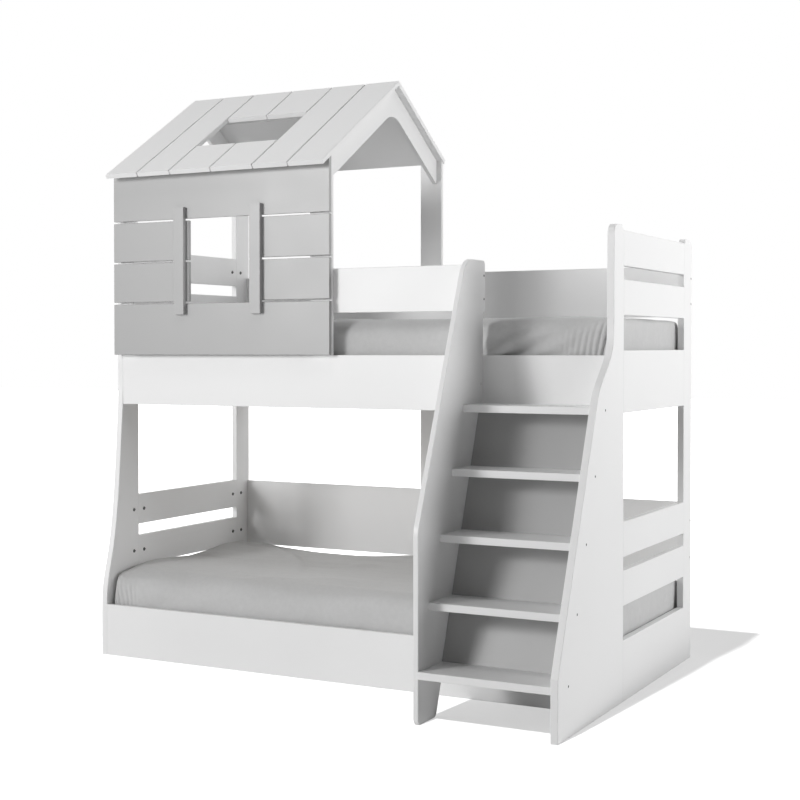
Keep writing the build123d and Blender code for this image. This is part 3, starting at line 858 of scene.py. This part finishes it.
def make_connector_heads(sizes):
    """Pairs of dark connector heads on the end boards' inner faces, at each guard's seams."""
    rail_low, rail_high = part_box("lower_front_rail")
    places = []
    for side, face_x, out in (("left", rail_low.x, 1), ("right", rail_high.x, -1)):
        for level in ("low", "high"):
            low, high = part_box(f"{side}_{level}_guards")
            for seam in (low.y, high.y):
                for y in (seam - HEAD_TO_SEAM, seam + HEAD_TO_SEAM):
                    for z in (low.z + GUARD_BOARD / 2, high.z - GUARD_BOARD / 2):
                        places.append((Vector((face_x, y, z)), out))
    piece = copies_at(round_cap(sizes.cap_radius, HEAD_THICKNESS, True), places)
    settle(piece, "connector_heads", "screw_steel")


def make_cover_plug(sizes):
    """The white plug on the stringer's inner face."""
    low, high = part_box("stair_stringer")
    place = Vector((high.x, high.y - PLUG_SETBACK, PLUG_HEIGHT))
    piece = copies_at(round_cap(sizes.cap_radius, PLUG_THICKNESS, False), [(place, 1)])
    settle(piece, "cover_plug", "cover_plastic")


# Studio

# The floor: its tone for the camera and for the light that it sends back, its glow, and where
# it turns white behind the bed, in front and at the sides, over which widths
FLOOR_SIZE = 60
FLOOR_TONE, BOUNCE_TONE = 0.4, 0.38
FLOOR_GLOW, WHITE_GLOW = 0.5, 0.8
REAR_EDGE, REAR_FADE = 1.34, 0.06
FRONT_EDGE, SIDE_EDGE, WIDE_FADE = 1.2, 1.6, 0.8

# The soft light from behind and from the left
BEHIND_LIGHT, LEFT_LIGHT, LOBE_POWER = 1.8, 1.3, 2.0

# Each lamp's name, its place, the point that it faces, its width and height, and its power
LAMPS = (
    ("key_low", (-3.9, -7.0, 2.3), (0.3, 0, 0.9), (1.5, 2.6), 167),
    ("key_high", (-3.3, -7.4, 3.4), (0.3, 0, 0.9), (1.5, 1.5), 151),
    ("right_fill", (5.55, 1.2, 2.05), (0.9, 0, 1.6), (2.2, 2.2), 136),
    ("right_high", (3.0, 0.9, 2.8), (1.0, 0.2, 1.7), (1.2, 0.8), 5),
    ("over", (0.3, -1.6, 4.6), (0, 0, 1.4), (1.2, 1.2), 21),
)
SHADE_WAY, SHADE_ANGLE, SHADE_POWER = (0.081, 0.8, -1), radians(1.2), 5.0


def grey(level):
    """An opaque grey."""
    return (level, level, level, 1)


def faded(tree, value, output, edge, width):
    """A mask that rises from 0 to 1 over a width past an edge."""
    mask = node_at(tree, "ShaderNodeMapRange", (-600, -400), {
        "From Min": edge, "From Max": edge + width, "To Min": 0.0, "To Max": 1.0,
    }, interpolation_type="SMOOTHSTEP")
    wire(tree, value, output, mask, "Value")
    return mask


def larger(tree, first, second):
    """The larger of two masks."""
    pick = node_at(tree, "ShaderNodeMath", (-400, -400), operation="MAXIMUM")
    wire(tree, first, 0, pick, 0)
    wire(tree, second, 0, pick, 1)
    return pick


def chosen_by(tree, mask, output, otherwise, shader, place):
    """One shader where a mask is 1, and another where it is 0."""
    choice = node_at(tree, "ShaderNodeMixShader", place)
    wire(tree, mask, output, choice, "Fac")
    wire(tree, otherwise, 0, choice, 1)
    wire(tree, shader, 0, choice, 2)
    return choice


def white_surround(tree):
    """A mask that is 1 on the floor all round the bed and its shadow."""
    place = node_at(tree, "ShaderNodeTexCoord", (-1200, -300))
    apart = node_at(tree, "ShaderNodeSeparateXYZ", (-1000, -300))
    wire(tree, place, "Object", apart, "Vector")
    side = node_at(tree, "ShaderNodeMath", (-800, -200), operation="ABSOLUTE")
    wire(tree, apart, "X", side, 0)
    nearer = node_at(tree, "ShaderNodeMath", (-800, -500), {1: -1.0}, operation="MULTIPLY")
    wire(tree, apart, "Y", nearer, 0)
    behind = faded(tree, apart, "Y", REAR_EDGE, REAR_FADE)
    beside = faded(tree, side, "Value", SIDE_EDGE, WIDE_FADE)
    before = faded(tree, nearer, "Value", FRONT_EDGE, WIDE_FADE)
    return larger(tree, larger(tree, behind, beside), before)


def make_floor():
    """A wide pale floor that keeps the bed's shadow and runs out into a white backdrop."""
    deselect()
    bpy.ops.mesh.primitive_plane_add(size=FLOOR_SIZE, location=(0, 0, 0))
    floor = bpy.context.object
    floor.name = "studio_floor"
    material = bpy.data.materials.new("Studio floor")
    material.use_nodes = True
    tree = material.node_tree
    tree.nodes.clear()
    paper = node_at(tree, "ShaderNodeBsdfDiffuse", (-200, 0), {"Color": grey(FLOOR_TONE)})
    bounce = node_at(tree, "ShaderNodeBsdfDiffuse", (-200, 150), {"Color": grey(BOUNCE_TONE)})
    strength = node_at(
        tree, "ShaderNodeMath", (-200, -400), {1: WHITE_GLOW, 2: FLOOR_GLOW},
        operation="MULTIPLY_ADD",
    )
    wire(tree, white_surround(tree), 0, strength, 0)
    glow = node_at(tree, "ShaderNodeEmission", (0, -300))
    wire(tree, strength, "Value", glow, "Strength")
    glowing = node_at(tree, "ShaderNodeAddShader", (150, -100))
    wire(tree, paper, 0, glowing, 0)
    wire(tree, glow, 0, glowing, 1)
    path = node_at(tree, "ShaderNodeLightPath", (-200, 300))
    choice = chosen_by(tree, path, "Is Camera Ray", bounce, glowing, (300, 0))
    leave = node_at(tree, "ShaderNodeOutputMaterial", (600, 0))
    wire(tree, choice, 0, leave, "Surface")
    floor.data.materials.append(material)
    return floor


def lobe(tree, place, way, strength):
    """Light that comes from one way, falling off to nothing at the sides."""
    toward = node_at(
        tree, "ShaderNodeVectorMath", (-600, -100), {1: Vector(way).normalized()},
        operation="DOT_PRODUCT",
    )
    wire(tree, place, "Generated", toward, 0)
    last = toward
    for step, (value, operation) in enumerate(
        ((0.0, "MAXIMUM"), (LOBE_POWER, "POWER"), (strength, "MULTIPLY"))
    ):
        made = node_at(
            tree, "ShaderNodeMath", (-400 + 150 * step, -100), {1: value}, operation=operation,
        )
        wire(tree, last, "Value", made, 0)
        last = made
    return last


def make_world():
    """A white backdrop for the camera and in reflections, with soft light from two sides."""
    world = bpy.data.worlds.new("Studio")
    bpy.context.scene.world = world
    world.use_nodes = True
    tree = world.node_tree
    tree.nodes.clear()
    seen = node_at(
        tree, "ShaderNodeBackground", (400, 200), {"Color": grey(1), "Strength": 1.0},
    )
    light = node_at(tree, "ShaderNodeBackground", (400, -200), {"Color": grey(1)})
    place = node_at(tree, "ShaderNodeTexCoord", (-800, -100))
    behind = lobe(tree, place, (0, 1, 0), BEHIND_LIGHT)
    left = lobe(tree, place, (-1, 0, 0), LEFT_LIGHT)
    total = node_at(tree, "ShaderNodeMath", (150, -200), operation="ADD")
    wire(tree, behind, "Value", total, 0)
    wire(tree, left, "Value", total, 1)
    wire(tree, total, "Value", light, "Strength")
    path = node_at(tree, "ShaderNodeLightPath", (-300, 400))
    clear = node_at(tree, "ShaderNodeMath", (0, 400), operation="MAXIMUM")
    wire(tree, path, "Is Camera Ray", clear, 0)
    wire(tree, path, "Is Transmission Ray", clear, 1)
    direct = node_at(tree, "ShaderNodeMath", (200, 400), operation="MAXIMUM")
    wire(tree, clear, "Value", direct, 0)
    wire(tree, path, "Is Glossy Ray", direct, 1)
    choice = chosen_by(tree, direct, "Value", light, seen, (800, 0))
    leave = node_at(tree, "ShaderNodeOutputWorld", (1000, 0))
    wire(tree, choice, 0, leave, "Surface")


def hang(name, lamp, place, way):
    """A lamp in the scene, facing a way."""
    holder = bpy.data.objects.new(name, lamp)
    bpy.context.scene.collection.objects.link(holder)
    turn = Vector(way).to_track_quat("-Z", "Y").to_matrix().to_4x4()
    holder.matrix_world = Matrix.Translation(place) @ turn
    return holder


def soft_box(name, place, target, size, power):
    """A rectangular lamp that faces a point."""
    lamp = bpy.data.lights.new(name, "AREA")
    lamp.shape = "RECTANGLE"
    lamp.size, lamp.size_y = size
    lamp.energy = power
    return hang(name, lamp, place, Vector(target) - Vector(place))


def far_lamp(name, way, angle, power):
    """A small lamp so far away that its rays run side by side."""
    lamp = bpy.data.lights.new(name, "SUN")
    lamp.angle = angle
    lamp.energy = power
    return hang(name, lamp, (0, 0, 0), way)


def light_list(name, floor, state):
    """A lamp's list of receivers that takes in only the floor, or all but the floor."""
    receivers = bpy.data.collections.new(name)
    receivers.objects.link(floor)
    receivers.collection_objects[0].light_linking.link_state = state
    return receivers


def make_lights(floor):
    """Two keys from the front left and fill from the right, and the floor shadow's own lamp."""
    lamps = [soft_box(*lamp) for lamp in LAMPS]
    all_but_floor = light_list("all_but_floor", floor, "EXCLUDE")
    for lamp in lamps:
        lamp.light_linking.receiver_collection = all_but_floor
    shade = far_lamp("floor_shade", SHADE_WAY, SHADE_ANGLE, SHADE_POWER)
    shade.light_linking.receiver_collection = light_list("shadow_floor", floor, "INCLUDE")


def make_camera(settings):
    """The photograph's view."""
    lens = bpy.data.cameras.new("camera")
    lens.lens = settings.lens
    lens.sensor_width = 36
    lens.shift_x, lens.shift_y = settings.shift
    lens.clip_end = 100
    camera = bpy.data.objects.new("camera", lens)
    bpy.context.scene.collection.objects.link(camera)
    camera.location = settings.camera_place
    camera.rotation_euler = settings.camera_turn
    bpy.context.scene.camera = camera


# Operators


class BED_OT_mix_finishes(bpy.types.Operator):
    """Mixes the lacquers, the pine, the sheet cotton, the steel and the plastic."""

    bl_idname = "bed.mix_finishes"
    bl_label = "Mix finishes"

    def execute(self, context):
        colours = context.scene.bed_colours
        lacquer = make_lacquer_group()
        weave = make_weave_group()
        make_lacquer("White lacquer", lacquer, colours.white, glossiest=0.33, dullest=0.41)
        make_lacquer("Grey lacquer", lacquer, colours.grey, glossiest=0.31, dullest=0.39)
        make_pine(colours.pine)
        make_sheet_fabric(weave, colours.sheet)
        make_metal(colours.steel)
        make_plastic(colours.cap)
        return {"FINISHED"}


class BED_OT_paint_boards(bpy.types.Operator):
    """Gives every board of the frame its lacquer and every slat its pine."""

    bl_idname = "bed.paint_boards"
    bl_label = "Paint boards"

    def execute(self, context):
        for name, board in nodes.items():
            if name in SOFT_NODES or name in SCREW_NODES:
                continue
            if name in GREY_NODES:
                dress(board, "grey_lacquer")
            elif name in PINE_NODES:
                dress(board, "bare_pine")
            else:
                dress(board, "white_lacquer")
        return {"FINISHED"}


class BED_OT_make_mattresses(bpy.types.Operator):
    """Models the two mattresses in their fitted sheets."""

    bl_idname = "bed.make_mattresses"
    bl_label = "Make mattresses"

    def execute(self, context):
        sizes = context.scene.bed_sizes
        make_mattress("lower_mattress_sheet", "lower_mattress", sizes, LOWER_LOOK)
        make_mattress("upper_mattress_sheet", "upper_mattress", sizes, UPPER_LOOK)
        return {"FINISHED"}


class BED_OT_make_fasteners(bpy.types.Operator):
    """Models the socket screws, the connector heads and the cover plug."""

    bl_idname = "bed.make_fasteners"
    bl_label = "Make fasteners"

    def execute(self, context):
        sizes = context.scene.bed_sizes
        for node in SCREW_NODES:
            make_screws(node, sizes)
        make_connector_heads(sizes)
        make_cover_plug(sizes)
        return {"FINISHED"}


class BED_OT_set_stage(bpy.types.Operator):
    """Lays the pale floor and sets the lights, the background and the camera."""

    bl_idname = "bed.set_stage"
    bl_label = "Set stage"

    def execute(self, context):
        floor = make_floor()
        make_world()
        make_lights(floor)
        make_camera(context.scene.bed_studio)
        context.scene.view_settings.view_transform = "Standard"
        return {"FINISHED"}


class BED_PT_finish(bpy.types.Panel):
    """Steps of the bed's finish."""

    bl_idname = "BED_PT_finish"
    bl_label = "Bunk bed"
    bl_space_type = "VIEW_3D"
    bl_region_type = "UI"
    bl_category = "Bunk bed"

    def draw(self, context):
        for step in STEPS:
            self.layout.operator(step.bl_idname)


STEPS = (
    BED_OT_mix_finishes, BED_OT_paint_boards, BED_OT_make_mattresses, BED_OT_make_fasteners,
    BED_OT_set_stage,
)
CLASSES = (BedColours, BedSizes, StudioSettings, *STEPS, BED_PT_finish)


def register():
    """Adds the settings, the operators and the panel."""
    for kind in CLASSES:
        bpy.utils.register_class(kind)
    bpy.types.Scene.bed_colours = bpy.props.PointerProperty(type=BedColours)
    bpy.types.Scene.bed_sizes = bpy.props.PointerProperty(type=BedSizes)
    bpy.types.Scene.bed_studio = bpy.props.PointerProperty(type=StudioSettings)


def unregister():
    """Takes them away again."""
    del bpy.types.Scene.bed_studio
    del bpy.types.Scene.bed_sizes
    del bpy.types.Scene.bed_colours
    for kind in reversed(CLASSES):
        bpy.utils.unregister_class(kind)


def main():
    register()
    bpy.ops.bed.mix_finishes()
    bpy.ops.bed.paint_boards()
    bpy.ops.bed.make_mattresses()
    bpy.ops.bed.make_fasteners()
    bpy.ops.bed.set_stage()


if __name__ == "__main__":
    main()
